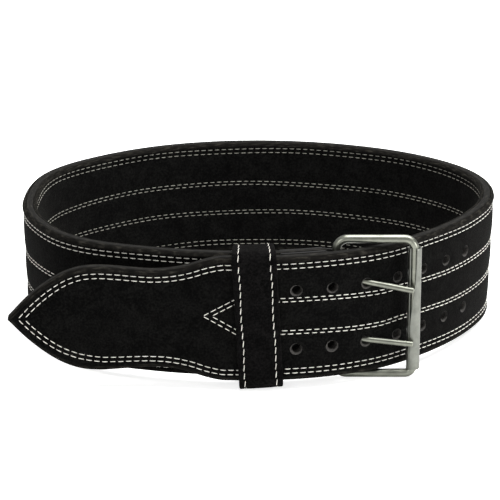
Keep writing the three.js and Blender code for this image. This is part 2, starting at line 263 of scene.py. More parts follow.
# Where a prong crosses from the core to the face, which is where its hole is
def prongCrossing():
    distance = np.arange(overlapAt, overlapAt + buckle["reach"], 0.00025)
    zero = np.zeros_like(distance)
    face = wrapFlat(np.column_stack([distance, zero, zero + strap["corePly"] / 2]))
    run = face[:, 0] - hingeBar.x
    line = hingeBar.y - prongEyeReach - (prongSeat - prongEyeReach) * run / buckle["reach"]
    best = np.argmin(np.abs(face[:, 1] - line))
    return run[best], distance[best]


crossRun, prongHoleAt = prongCrossing()


# The turn and the shift that stand the level belt on the floor
def standingMatrix():
    footDepth = keeper["corner"] - keeper["wall"] - keeper["clearance"] - thickness / 2
    keeperFoot = Vector(wrapFlat([path["tongueRun"] + keeper["setback"], 0, -footDepth])[0])
    frameFoot = Vector((rollerBar.x, rollerBar.y, 0))
    axis = keeperFoot - frameFoot
    axis.z = 0
    axis.normalize()
    distance = np.arange(distanceAt(90), distanceAt(180), 0.001)
    zero = np.zeros_like(distance)
    edge = np.column_stack([distance, zero, zero + strap["corePly"] / 2])
    reach = ((wrapFlat(edge) - np.array(frameFoot)) @ np.array([axis.y, -axis.x, 0])).max()
    turn = Quaternion(axis, math.atan2(standDrop, reach)).to_matrix().to_4x4()
    ringMiddle = -buckle["seat"] - wireRadius + (innerHeight + buckle["wire"]) / 2
    centre = Vector((hingeBar.x + buckle["reach"] / 2, hingeBar.y, ringMiddle))
    low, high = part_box("buckle_frame")
    return Matrix.Translation((low + high) / 2 - turn @ centre) @ turn


standing = standingMatrix()
print("route laid out, hinge at", round(float(hingeAt), 4))


def pickOnly(*pieces):
    if bpy.context.object and bpy.context.object.mode != "OBJECT":
        bpy.ops.object.mode_set(mode="OBJECT")
    bpy.ops.object.select_all(action="DESELECT")
    for piece in pieces:
        piece.select_set(True)
    bpy.context.view_layer.objects.active = pieces[0] if pieces else None


# Puts a new primitive's place and size into its mesh
def settled():
    bpy.ops.object.transform_apply(location=True, rotation=True, scale=True)
    return bpy.context.object


def readPoints(piece):
    points = np.empty(len(piece.data.vertices) * 3)
    piece.data.vertices.foreach_get("co", points)
    return points.reshape(-1, 3)


def writePoints(piece, points):
    piece.data.vertices.foreach_set("co", np.asarray(points, float).ravel())
    piece.data.update()


def applied(piece, kind, **settings):
    pickOnly(piece)
    modifier = piece.modifiers.new(kind.title(), kind)
    for name, value in settings.items():
        setattr(modifier, name, value)
    bpy.ops.object.modifier_apply(modifier=modifier.name)


def joined(pieces):
    pickOnly(*pieces)
    bpy.ops.object.join()
    return bpy.context.object


def rounded(piece, width, segments):
    applied(piece, "BEVEL", width=width, segments=segments, limit_method="ANGLE",
            angle_limit=math.radians(60))


def editAll():
    bpy.ops.object.mode_set(mode="EDIT")
    bpy.ops.mesh.select_all(action="SELECT")


def tidied(piece, fill=False, distance=1e-6):
    pickOnly(piece)
    editAll()
    bpy.ops.mesh.remove_doubles(threshold=distance)
    if fill:
        bpy.ops.mesh.fill_holes(sides=0)
    bpy.ops.mesh.select_all(action="SELECT")
    bpy.ops.mesh.normals_make_consistent(inside=False)
    bpy.ops.object.mode_set(mode="OBJECT")


def extruded(step):
    bpy.ops.mesh.extrude_region_move(TRANSFORM_OT_translate={"value": step})


# A flat grid of so many rows and columns, to be laid along a shape
def gridPiece(rows, columns):
    pickOnly()
    bpy.ops.mesh.primitive_grid_add(x_subdivisions=columns - 1, y_subdivisions=rows - 1, size=1)
    return bpy.context.object


# A grid whose rows are the sections and whose columns go once round each, closed into one body
def lofted(rings):
    rings = np.concatenate([rings, rings[:, :1]], axis=1)
    piece = gridPiece(*rings.shape[:2])
    writePoints(piece, rings)
    tidied(piece, fill=True)
    return piece


def finished(piece, name, material, replaces=None, angle=35):
    piece.name = name
    piece.data.name = name
    piece.data.transform(standing)
    if material:
        piece.data.materials.clear()
        piece.data.materials.append(material)
    pickOnly(piece)
    bpy.ops.object.shade_smooth_by_angle(angle=math.radians(angle))
    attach(piece, "root")
    if replaces:
        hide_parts(replaces)
    print(name, "made,", sum(len(p.vertices) - 2 for p in piece.data.polygons), "triangles")
    return piece


def linearColour(hexValue):
    parts = [int(hexValue[i:i + 2], 16) / 255 for i in (1, 3, 5)]
    return [p / 12.92 if p <= 0.04045 else ((p + 0.055) / 1.055) ** 2.4 for p in parts] + [1]


def addNode(tree, kind, links=None, stops=(), **settings):
    node = tree.nodes.new(kind)
    for name, value in settings.items():
        if hasattr(node, name):
            setattr(node, name, value)
        else:
            node.inputs[name.replace("_", " ")].default_value = value
    for name, source in (links or {}).items():
        tree.links.new(source, node.inputs[name])
    for place in range(2, len(stops)):
        node.color_ramp.elements.new(0.5)
    for k, (position, colour) in enumerate(stops):
        node.color_ramp.elements[k].position = position
        node.color_ramp.elements[k].color = linearColour(colour)
    return node


def newMaterial(name, **sockets):
    material = bpy.data.materials.new(name)
    material.use_nodes = True
    tree = material.node_tree
    shader = tree.nodes["Principled BSDF"]
    for socket, value in sockets.items():
        shader.inputs[socket.replace("_", " ")].default_value = value
    return material, tree, shader


# Joins a finish's colour and bump to its shader
def joinFinish(tree, shader, colour, bump):
    tree.links.new(colour, shader.inputs["Base Color"])
    tree.links.new(bump.outputs["Normal"], shader.inputs["Normal"])


# Split leather dyed black: matt, with a short brushed nap that catches light at grazing angles.
# The fibres are drawn 1.5 mm apart and the nap 3 mm, coarser than real, so that they show; the
# brushing shades it every 11 mm.
def suedeShader(name, paintLitRim, dark="#030303", light="#131312"):
    material, tree, shader = newMaterial(
        name, Roughness=0.95, Sheen_Weight=0.03, Sheen_Roughness=0.5,
        Sheen_Tint=linearColour("#8d8a82"), Specular_IOR_Level=0.04)
    place = addNode(tree, "ShaderNodeTexCoord").outputs["Object"]
    fibres = addNode(tree, "ShaderNodeTexNoise", {"Vector": place},
                     Scale=650, Detail=4, Roughness=0.7).outputs["Fac"]
    nap = addNode(tree, "ShaderNodeTexNoise", {"Vector": place},
                  Scale=330, Detail=3, Distortion=0.6).outputs["Fac"]
    brushed = addNode(tree, "ShaderNodeTexNoise", {"Vector": place},
                      Scale=90, Detail=3, Distortion=0.4).outputs["Fac"]
    blend = addNode(tree, "ShaderNodeMix", {"A": fibres, "B": brushed}, Factor=0.25).outputs["Result"]
    colour = addNode(tree, "ShaderNodeValToRGB", {"Fac": blend},
                     stops=[(0.44, dark), (0.62, light)]).outputs["Color"]
    height = addNode(tree, "ShaderNodeMath", {0: fibres, 1: nap}, operation="ADD").outputs[0]
    bump = addNode(tree, "ShaderNodeBump", {"Height": height}, Strength=0.9, Distance=0.0004)
    # Partly edge dye, partly painted highlight: near its edges the suede takes the grey edge colour, which
    # stands for the rolled shoulder catching the light from above
    if paintLitRim:
        rim = addNode(tree, "ShaderNodeAttribute", attribute_name="litRimShare").outputs["Fac"]
        edge = edgeStreaks(tree)[0]
        mixed = addNode(tree, "ShaderNodeMix", {"Factor": rim, 6: colour, 7: edge}, data_type="RGBA")
        colour = mixed.outputs[2]
    joinFinish(tree, shader, colour, bump)
    return material


# Rubbed edge dye in streaks that run along the strap, about 8 mm long and 1.2 mm wide; its grey is partly
# painted light, standing for the rim lit from above
def edgeStreaks(tree):
    along = addNode(tree, "ShaderNodeUVMap", uv_map="rimMap").outputs["UV"]
    stretched = addNode(tree, "ShaderNodeMapping", {"Vector": along}, Scale=(130, 800, 1)).outputs[0]
    streaks = addNode(tree, "ShaderNodeTexNoise", {"Vector": stretched},
                      Scale=1, Detail=3, Roughness=0.6).outputs["Fac"]
    # Painted light: the lighter grey stops stand for the top of the rim catching the overhead light, over
    # dark edge dye
    dyeAndPaintedLight = addNode(tree, "ShaderNodeValToRGB", {"Fac": streaks},
                  stops=[(0.32, "#090908"), (0.52, "#151412"), (0.74, "#36342f")])
    return dyeAndPaintedLight.outputs["Color"], streaks


# The core's edge: dark edge dye with a painted grey highlight from the streaks below
def edgeShader():
    material, tree, shader = newMaterial("burnishedEdgeWithPaintedLight", Roughness=0.85, Specular_IOR_Level=0.15)
    edge, streaks = edgeStreaks(tree)
    bump = addNode(tree, "ShaderNodeBump", {"Height": streaks}, Strength=0.6, Distance=0.0002)
    joinFinish(tree, shader, edge, bump)
    return material


# Finishes whose one noise gives both colour and relief: dark in its hollows, light on its tops
def grainedShader(name, scale, dark, light, roughness, strength, distance, detail=3):
    material, tree, shader = newMaterial(name, Roughness=roughness)
    place = addNode(tree, "ShaderNodeTexCoord").outputs["Object"]
    grain = addNode(tree, "ShaderNodeTexNoise", {"Vector": place},
                    Scale=scale, Detail=detail).outputs["Fac"]
    colour = addNode(tree, "ShaderNodeValToRGB", {"Fac": grain}, stops=[(0.3, dark), (0.7, light)])
    bump = addNode(tree, "ShaderNodeBump", {"Height": grain}, Strength=strength, Distance=distance)
    joinFinish(tree, shader, colour.outputs["Color"], bump)
    return material


# Smooth chrome-tanned strip for the fold round the bar: low grain about 1.2 mm across
def tabShader():
    material, tree, shader = newMaterial("smoothBlackLeather", Roughness=0.6, Specular_IOR_Level=0.25)
    place = addNode(tree, "ShaderNodeTexCoord").outputs["Object"]
    grain = addNode(tree, "ShaderNodeTexVoronoi", {"Vector": place}, Scale=850).outputs["Distance"]
    fade = addNode(tree, "ShaderNodeTexNoise", {"Vector": place}, Scale=60, Detail=3).outputs["Fac"]
    colour = addNode(tree, "ShaderNodeValToRGB", {"Fac": fade}, stops=[(0.3, "#0a0a09"), (0.7, "#141312")])
    bump = addNode(tree, "ShaderNodeBump", {"Height": grain}, Strength=0.35, Distance=0.0001)
    joinFinish(tree, shader, colour.outputs["Color"], bump)
    return material


# Nickel plate over drawn steel: warm grey mirror, softened by tumbling, which leaves dents about
# 2.4 mm across, with faint dulled patches about 7 mm across
def nickelShader(name, roughness, dark="#72746b", light="#8b8d82"):
    material, tree, shader = newMaterial(name, Metallic=1)
    place = addNode(tree, "ShaderNodeTexCoord").outputs["Object"]
    patches = addNode(tree, "ShaderNodeTexNoise", {"Vector": place},
                      Scale=140, Detail=4, Roughness=0.6).outputs["Fac"]
    tumbled = addNode(tree, "ShaderNodeTexNoise", {"Vector": place}, Scale=420, Detail=2).outputs["Fac"]
    colour = addNode(tree, "ShaderNodeValToRGB", {"Fac": patches}, stops=[(0.3, dark), (0.7, light)])
    dull = addNode(tree, "ShaderNodeMapRange", {"Value": patches},
                   To_Min=roughness - 0.06, To_Max=roughness + 0.1)
    tree.links.new(dull.outputs[0], shader.inputs["Roughness"])
    bump = addNode(tree, "ShaderNodeBump", {"Height": tumbled}, Strength=0.12, Distance=0.0002)
    joinFinish(tree, shader, colour.outputs["Color"], bump)
    return material


suede = suedeShader("blackSplitSuede", True)
keeperSuede = suedeShader("blackKeeperSuede", False, "#030303", "#141313")
edgeLeather = edgeShader()
tabLeather = tabShader()
nickel = nickelShader("nickelPlatedWire", 0.3)
# Painted shade: the roller's nickel is a darker copy of the wire's, toning down the bright reflection on
# its upright tube
shadedRollerNickel = nickelShader("nickelPlatedSheetShaded", 0.36, "#6c6e68", "#84867f")
# Cut fibres in a punched hole, about 1.1 mm apart: greyer and rougher than the dyed face
cutLeather = grainedShader("punchedLeatherWall", 900, "#121110", "#423f3b", 0.8, 0.5, 0.0002)
# Bonded nylon, off-white and slightly waxy; its twist is about 0.9 mm
thread = grainedShader("bondedNylonThread", 1100, "#cbc8be", "#fbf8f0", 0.6, 0.4, 0.0001, detail=2)
# Painted shade: the lining's thread is painted greyer than the face thread, standing for the dimmer
# stitches on the shaded inner wall
bobbinThread = grainedShader("fineBobbinThreadPaintedShade", 1100, "#6f6d65", "#a8a69b", 0.6, 0.4, 0.0001, detail=2)
print("materials mixed")


sewing = {
    "edgeInsets": [0.0054, 0.009],
    "middleOffsets": [0.0144, 0.0116],
    "arrowTips": [0.1495, 0.1563],
    "arrowSlope": 0.55,
    "tipInset": 0.0008,      # the rows keep this much more from the edge at the very tip
    "tipFade": 0.06,         # and no more beyond this distance from it
    "tipStart": 0.0004,      # an edge row starts this far from the middle line
    "pitch": 0.0061,
    "stitch": 0.0046,
    "thread": 0.00066,
    "bobbinStitch": 0.0042,  # the thread on the lining side is finer and pulled in deeper
    "bobbinThread": 0.00058,
    "groove": 0.0005,
    "grooveWidth": 0.0012,
    "proud": 0.0002,         # how far a stitch lies above the bottom of its groove
    "wander": 0.00035,
    "wanderFade": 0.2,       # the rows run true at the tip and wander fully from here on
    "arrowFade": 0.03,
    "lineStep": 0.0005,
    "endGap": 0.003,
    # Hand-guided rows: (distance from the tip, how far up they stray) for the middle and the lower edge
    "middleStray": [(0.14, 0.0031), (0.19, 0.0031), (0.23, 0.0024), (0.25, 0.0016), (0.265, 0.001),
                    (0.29, 0.0008), (0.305, 0.0018), (0.33, 0.0012), (0.36, 0), (0.45, 0)],
    "lowerStray": [(0, 0), (0.03, 0.0018), (0.045, 0.003), (0.058, 0.0031), (0.075, 0.0018),
                   (0.09, 0.001), (0.11, 0), (0.18, 0), (0.22, 0.0009), (0.25, 0.0012), (0.31, 0.0017),
                   (0.36, 0.0008), (0.4, 0), (0.6, 0), (0.66, 0.0015), (0.84, 0.0015), (0.9, 0)],
}

ply = {
    "edgeGap": 0.0003,      # how far face and lining stop short of the core's edge
    "shoulder": 0.0034,     # width of the rounded shoulder
    "shoulderDrop": 0.9,    # and how deep it rolls down, as a share of the ply
    "bead": 0.0009,         # the edge outside the stitching stands up by this much
    "beadInset": 0.0022,
    "beadWidth": 0.0015,
    "pillow": 0.00035,      # the leather between the rows swells by this much
    "pillowWidth": 0.006,
    "pillowInset": 0.009,
    "pillowOver": 0.004,
    "uneven": 0.00012,
    "calmTip": 0.01,        # the relief fades out where the tip is narrower than this
    "litRimStart": 0.0022,     # the grey edge colour fades out between these two insets; it is partly edge dye, partly a painted highlight on the rolled shoulder
    "litRimEnd": 0.0046,
    "rimReach": 0.006,
    "band": 0.012,          # columns this near to the edge keep their spacing where the strap narrows
    "underColumns": 9,
    # Sections along the strap and columns in from its edge, each as (from, to, every)
    "sections": [(taper["blunt"], 0.03, 0.0015), (0.031, 0.19, 0.0028)],
    "body": (0.193, 0.004),
    "columns": [(0.0036, 0.0124, 0.0006), (0.0142, 0.033, 0.0022),
                (0.0339, 0.0412, 0.0006), (0.0422, 0.0495, 0.0022)],
}

coreRim = {
    "lines": 11,            # every second one lies lower, which leaves the ridges of pressed fibre
    "ridge": 0.00012,
    "corner": 0.0004,
    "calmTip": 0.02,
    "flatColumns": 5,
}

plyEnd = hingeAt - tab["leg"] - strap["plyGap"]
coreEnd = hingeAt - tab["coreSetback"]


def wandering(distance, phase):
    slow = np.sin(distance / 0.047 + phase) + 0.7 * np.sin(distance / 0.019 + 2.3 * phase)
    return sewing["wander"] * slow


def straying(name, distance):
    places, strays = np.array(sewing[name]).T
    return np.interp(distance, places, strays)


# Stitch rows as lines of (distance, height): two along each edge, and two double rows that meet in arrows
def threadRows():
    along = np.arange(taper["blunt"], plyEnd - sewing["endGap"], sewing["lineStep"])
    half = halfWidthAt(along)
    slope = np.gradient(half, along)
    norm = np.hypot(1, slope)
    rows = []
    for side in (1, -1):
        for edgeInset in sewing["edgeInsets"]:
            inset = edgeInset + sewing["tipInset"] * (1 - smoothShare(along / sewing["tipFade"]))
            distance = along + inset * slope / norm
            offset = half - inset / norm
            first = np.argmax(offset > sewing["tipStart"])
            begun = smoothShare(along / sewing["wanderFade"])
            height = midHeight + side * offset + wandering(along, side) * begun
            height += straying("lowerStray", along) if side < 0 else 0
            rows.append(np.column_stack([distance, height])[first:])
        for offset, arrowTip in zip(sewing["middleOffsets"], sewing["arrowTips"]):
            distance = along[along >= arrowTip]
            rise = np.minimum(sewing["arrowSlope"] * (distance - arrowTip), offset)
            begun = smoothShare((distance - arrowTip) / sewing["arrowFade"])
            height = midHeight + side * rise + wandering(distance, 2 + side) * begun
            height += straying("middleStray", distance)
            rows.append(np.column_stack([distance, height]))
    return rows


stitchRows = threadRows()
rowTree = KDTree(sum(len(row[::2]) for row in stitchRows))
for place in np.concatenate([row[::2] for row in stitchRows]):
    rowTree.insert((place[0], place[1], 0), 0)
rowTree.balance()


# How far the leather stands up (or is drawn down by the stitches) at a place of its face
def reliefAt(distance, height):
    toRow = np.array([rowTree.find((d, h, 0))[2] for d, h in zip(distance, height)])
    inset = halfWidthAt(distance) - np.abs(height - midHeight)
    groove = sewing["groove"] * np.exp(-(toRow / sewing["grooveWidth"]) ** 2)
    bead = ply["bead"] * np.exp(-((inset - ply["beadInset"]) / ply["beadWidth"]) ** 2)
    inner = smoothShare((inset - ply["pillowInset"]) / ply["pillowOver"])
    pillow = ply["pillow"] * (1 - np.exp(-(toRow / ply["pillowWidth"]) ** 2)) * inner
    uneven = ply["uneven"] * (np.sin(distance / 0.031) + np.sin(distance / 0.0127 + height / 0.021))
    return bead + pillow + uneven - groove


# Insets of the columns where the strap is narrower than at its full width
def squeezed(inset, half):
    band = ply["band"]
    near = band * np.minimum(1, half / (2 * band))
    full = midHeight - ply["edgeGap"]
    beyond = near + (inset - band) / (full - band) * (half - near)
    return np.where(inset <= band, inset / band * near, beyond)


def sectionsTo(end):
    start, step = ply["body"]
    runs = ply["sections"] + [(start, end - step / 2, step)]
    return np.concatenate([np.arange(*run) for run in runs] + [[end]])


# Face or lining: flat underneath, its outer side rolled over at the edges and drawn in along the stitches
def makePly(outerLevel, innerLevel):
    depth = abs(outerLevel - innerLevel)
    angles = np.radians(np.arange(0, 90, 15))
    arcInset = ply["shoulder"] * (1 - np.cos(angles))
    arcDrop = ply["shoulderDrop"] * depth * (1 - np.sin(angles))
    field = np.concatenate([np.arange(*run) for run in ply["columns"]])
    inset = np.concatenate([arcInset, field])
    drop = np.concatenate([arcDrop, np.zeros(len(field))])
    sections = sectionsTo(plyEnd)
    half = (halfWidthAt(sections) - ply["edgeGap"])[:, None]
    offset = half - squeezed(inset[None], half)
    under = half * np.linspace(1, -1, ply["underColumns"])[None]
    across = np.concatenate([-offset, offset[:, ::-1], under], axis=1)
    low = np.concatenate([drop, drop[::-1], np.full(ply["underColumns"], depth)])
    distance = np.broadcast_to(sections[:, None], across.shape)
    height = midHeight + across
    relief = reliefAt(distance.ravel(), height.ravel()).reshape(across.shape)
    share = 1 - np.minimum(low / depth, 1) ** 0.7
    rise = relief * share[None] * np.minimum(1, half / ply["calmTip"]) - low[None]
    outwards = outerLevel + rise * np.sign(outerLevel - innerLevel)
    rings = np.stack([distance, height, outwards], -1)
    return lofted(rings)


# The core between them: its pressed edge shows as fine ridges along the rim
def makeCore():
    level = strap["corePly"] / 2
    lines, columns = coreRim["lines"], coreRim["flatColumns"]
    rimLevels = np.linspace(-level, level, lines)
    rimInset = np.where(np.arange(lines) % 2 == 0, 0.0, coreRim["ridge"])
    rimInset[[0, -1]] = coreRim["corner"]
    sections = sectionsTo(coreEnd)
    half = halfWidthAt(sections)[:, None]
    upper = half - rimInset[None] * np.minimum(1, half / coreRim["calmTip"])
    inner = half * np.linspace(0.9, -0.9, columns)[None]
    across = np.concatenate([upper, inner, -upper, -inner], axis=1)
    outwards = np.concatenate([rimLevels, np.full(columns, level),
                               rimLevels[::-1], np.full(columns, -level)])
    distance = np.broadcast_to(sections[:, None], across.shape)
    outwards = np.broadcast_to(outwards[None], across.shape)
    return lofted(np.stack([distance, midHeight + across, outwards], -1))


prongs = {
    "prongUpper": {"node": "prong_upper", "row": 1, "droop": 10.5},
    "prongLower": {"node": "prong_lower", "row": -1, "droop": 5.5},
}


def prongEnds(prong):
    fall = math.tan(math.radians(prong["droop"]))
    top = midHeight + prong["row"] * holes["rowSpacing"] / 2 + fall * crossRun
    start = Vector((hingeBar.x, hingeBar.y - prongEyeReach, top))
    end = Vector((rollerBar.x, rollerBar.y - prongSeat, top - fall * buckle["reach"]))
    return start, end


# The cutter of a prong's way: where along the strap it is looked for, its sections and its sides
prongCut = {"before": 0.012, "after": 0.02, "every": 0.0001, "probe": 0.001,
            "sections": 16, "overrun": 1.04, "sides": 24}


# The slanted way of a prong, in flat strap coordinates
def prongWay(prong):
    start, end = prongEnds(prong)
    near = np.arange(overlapAt - prongCut["before"],
                     overlapAt + buckle["reach"] + prongCut["after"], prongCut["every"])
    zero = np.zeros_like(near)
    middle = wrapFlat(np.column_stack([near, zero + midHeight, zero]))
    outer = wrapFlat(np.column_stack([near, zero + midHeight, zero + prongCut["probe"]]))
    centres = []
    for share in np.linspace(0, prongCut["overrun"], prongCut["sections"]):
        point = start.lerp(end, share)
        best = np.argmin(np.hypot(middle[:, 0] - point.x, middle[:, 1] - point.y))
        outward = (outer[best] - middle[best])[:2] / prongCut["probe"]
        level = (point.x - middle[best, 0]) * outward[0] + (point.y - middle[best, 1]) * outward[1]
        centres.append([near[best], point.z, level])
    centres = np.array(centres)
    heading = np.gradient(centres, axis=0)
    heading /= np.linalg.norm(heading, axis=1)[:, None]
    up = np.array([0, 1, 0]) - heading * heading[:, 1:2]
    up /= np.linalg.norm(up, axis=1)[:, None]
    side = np.cross(heading, up)
    radius = buckle["prong"] / 2 + buckle["prongClearance"]
    turn = np.linspace(0, 2 * np.pi, prongCut["sides"] + 1)[:-1]
    around = np.cos(turn)[None, :, None] * up[:, None] + np.sin(turn)[None, :, None] * side[:, None]
    return lofted(centres[:, None] + radius * around)


def punchSet():
    punches, sinks = [], []
    for column in range(holes["columns"]):
        distance = prongHoleAt + (column - holes["prongColumn"]) * holes["pitch"]
        for row in (-1, 1):
            pickOnly()
            place = (distance, midHeight + row * holes["rowSpacing"] / 2, 0)
            bpy.ops.mesh.primitive_cylinder_add(vertices=holes["sides"], radius=holes["diameter"] / 2,
                                                depth=holes["punchLength"], location=place)
            punches.append(settled())
            low = holes["diameter"] / 2 - holes["tuck"] * holes["worn"]
            high = holes["diameter"] + 2 * holes["lip"] - low
            place = (place[0] - holes["worn"], place[1] - holes["worn"], thickness / 2)
            bpy.ops.mesh.primitive_cone_add(vertices=holes["sides"], radius1=low, radius2=high,
                                            depth=2 * holes["sink"], location=place)
            sinks.append(settled())
    tools = [joined(punches), joined(sinks)] + [prongWay(prong) for prong in prongs.values()]
    for tool in tools:
        tool.data.materials.append(cutLeather)
    return tools


# Pattern coordinates from the flat strap: distance along it, and height or depth across
def mapFlat(piece):
    flat = readPoints(piece)
    corners = np.empty(len(piece.data.loops), int)
    piece.data.loops.foreach_get("vertex_index", corners)
    inset = halfWidthAt(np.maximum(flat[:, 0], 0)) - np.abs(flat[:, 1] - midHeight)
    while piece.data.uv_layers:
        piece.data.uv_layers.remove(piece.data.uv_layers[0])
    across = flat[:, 2] + np.clip(ply["rimReach"] - inset, 0, ply["rimReach"]) * 0.5
    rimMap = piece.data.uv_layers.new(name="rimMap")
    rimMap.data.foreach_set("uv", np.column_stack([flat[:, 0], across])[corners].ravel())
    # The share of the grey edge colour mixed into the suede over its outermost millimetres: partly edge
    # dye, partly painted highlight
    rim = piece.data.attributes.new("litRimShare", "FLOAT", "POINT")
    fade = smoothShare((inset - ply["litRimStart"]) / (ply["litRimEnd"] - ply["litRimStart"]))
    rim.data.foreach_set("value", 1 - fade)


def cutAndWrapped(piece, material):
    piece.data.materials.clear()
    piece.data.materials.append(material)
    for cutter in cutters:
        applied(piece, "BOOLEAN", object=cutter, operation="DIFFERENCE", solver="EXACT",
                material_mode="TRANSFER")
    mapFlat(piece)
    writePoints(piece, wrapFlat(readPoints(piece)))
    return piece


cutters = punchSet()
faceLevel = thickness / 2
core = cutAndWrapped(makeCore(), edgeLeather)
finished(core, "strapCore", None, "strap_core")
face = cutAndWrapped(makePly(faceLevel, faceLevel - strap["facePly"]), suede)
finished(face, "strapFace", None, "strap_face")
lining = cutAndWrapped(makePly(-faceLevel, strap["liningPly"] - faceLevel), suede)
finished(lining, "strapLining", None, "strap_lining")
for cutter in cutters:
    bpy.data.objects.remove(cutter)


stitchForm = {
    "sides": 6,
    "end": 0.45,            # radius of its ends and how low they lie, in thread radii
    "dip": 0.9,
    # Steps from end to end: (share of the length, rise in thread radii, growth)
    "steps": [(0.14, 1.1, 2.0), (0.36, 0.35, 1.12), (0.36, -0.35, 0.9), (0.14, -1.1, 0.5)],
}


# One stitch: a short bow of thread whose ends dip into the leather
def modelStitch(length, radius):
    pickOnly()
    place = Vector((-length / 2, 0, -stitchForm["dip"] * radius))
    bpy.ops.mesh.primitive_circle_add(vertices=stitchForm["sides"], radius=stitchForm["end"] * radius,
                                      rotation=(0, math.pi / 2, 0), location=place)
    stitch = settled()
    editAll()
    for run, rise, growth in stitchForm["steps"]:
        step = Vector((run * length, 0, rise * radius))
        place += step
        extruded(step)
        bpy.ops.transform.resize(value=(1, growth, growth), center_override=place)
    bpy.ops.object.mode_set(mode="OBJECT")
    tidied(stitch, fill=True)
    points = readPoints(stitch)
    faces = [list(face.vertices) for face in stitch.data.polygons]
    bpy.data.objects.remove(stitch)
    return points, faces


# Places along a line at even spacing, with the direction of the line there
def spacedAlong(line, pitch, reach):
    lengths = np.concatenate([[0], np.cumsum(np.linalg.norm(np.diff(line, axis=0), axis=1))])
    at = np.arange(pitch / 2, lengths[-1] - reach / 2, pitch)

    def pointAt(where):
        return np.column_stack([np.interp(where, lengths, line[:, k]) for k in range(line.shape[1])])

    heading = pointAt(at + reach / 2) - pointAt(at - reach / 2)
    return pointAt(at), heading / np.linalg.norm(heading, axis=1)[:, None]


# Copies of the stitch at places with their own along, across and up directions
def stitchPoints(base, centre, along, up):
    across = np.cross(up, along)
    axes = np.stack([along, across, up], 1)
    return centre[:, None] + np.einsum("vk,skx->svx", base, axes)


def stitchPiece(name, blocks, faces, material):
    points = np.concatenate([block.reshape(-1, 3) for block in blocks])
    count = max(max(face) for face in faces) + 1
    copied = [[v + first for v in face] for first in range(0, len(points), count) for face in faces]
    mesh = bpy.data.meshes.new(name)
    mesh.from_pydata(points.tolist(), [], copied)
    piece = bpy.data.objects.new(name, mesh)
    bpy.context.scene.collection.objects.link(piece)
    return finished(piece, name, material, angle=60)


stitchBase, stitchFaces = modelStitch(sewing["stitch"], sewing["thread"] / 2)
bobbinBase, stitchFaces = modelStitch(sewing["bobbinStitch"], sewing["bobbinThread"] / 2)


def strapStitches(name, level, base, material):
    outward = math.copysign(1, level)
    blocks = []
    for row in stitchRows:
        centre, heading = spacedAlong(row, sewing["pitch"], sewing["stitch"])
        surface = np.full(len(centre), level - outward * (sewing["groove"] - sewing["proud"]))
        centre = np.column_stack([centre, surface])
        along = np.column_stack([heading, np.zeros(len(heading))])
        up = np.tile([0, 0, outward], (len(centre), 1))
        flat = stitchPoints(base, centre, along, up)
        blocks.append(wrapFlat(flat.reshape(-1, 3)))
    return stitchPiece(name, blocks, stitchFaces, material)


strapStitches("faceStitching", faceLevel, stitchBase, thread)
strapStitches("liningStitching", -faceLevel, bobbinBase, bobbinThread)


# Band coordinates (across its width, height from its middle, outwards) to the flat strap
def leanKeeper(points):
    across, height, outwards = points.T
    lean = math.radians(keeper["lean"])
    low = (keeper["width"] / 2 - keeper["edge"]) * math.sin(lean) + (midHeight + standDrop) * math.cos(lean)
    middle = path["tongueRun"] + keeper["setback"] + keeper["width"] / 2
    distance = middle + across * math.cos(lean) - height * math.sin(lean)
    height = low - standDrop + across * math.sin(lean) + height * math.cos(lean)
    return np.column_stack([distance, height, outwards])


keeperBack = -(layerPitch + thickness / 2 + keeper["clearance"] + keeper["wall"])
keeperFront = thickness / 2 + keeper["clearance"] + keeper["wall"]
keeperLow = -standDrop - midHeight
keeperTop = strap["width"] + keeper["headroom"] + keeper["wall"] - midHeight


